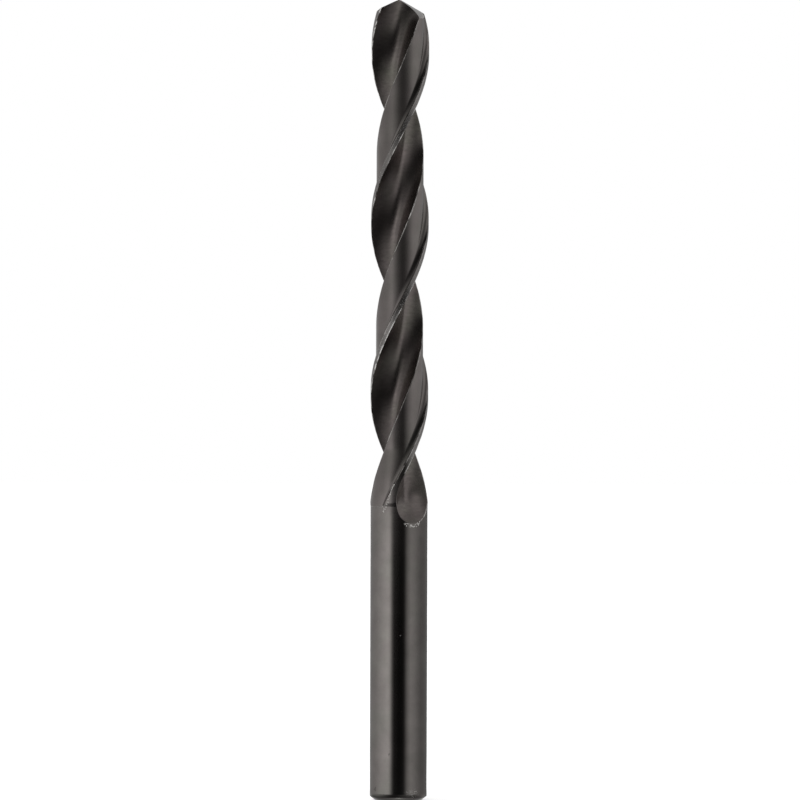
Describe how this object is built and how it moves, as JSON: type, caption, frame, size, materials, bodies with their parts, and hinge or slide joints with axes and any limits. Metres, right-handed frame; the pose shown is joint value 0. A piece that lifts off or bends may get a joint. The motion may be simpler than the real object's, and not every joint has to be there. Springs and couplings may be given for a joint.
{
  "type": "twist drill bit",
  "caption": "Straight-shank twist drill bit for metal, with helical flutes, narrow margins and a ground conical point.",
  "frame": {"origin": "centre of the flat shank end, which is the bottom of the part", "axes": "+Z along the drill's axis towards the point; the drill turns counterclockwise about +Z to cut"},
  "size_m": [0.009, 0.009, 0.125],
  "materials": {
    "tool_steel": "steam-tempered dark grey"
  },
  "bodies": {
    "root": {"twist_drill": "tool_steel"}
  },
  "joints": []
}
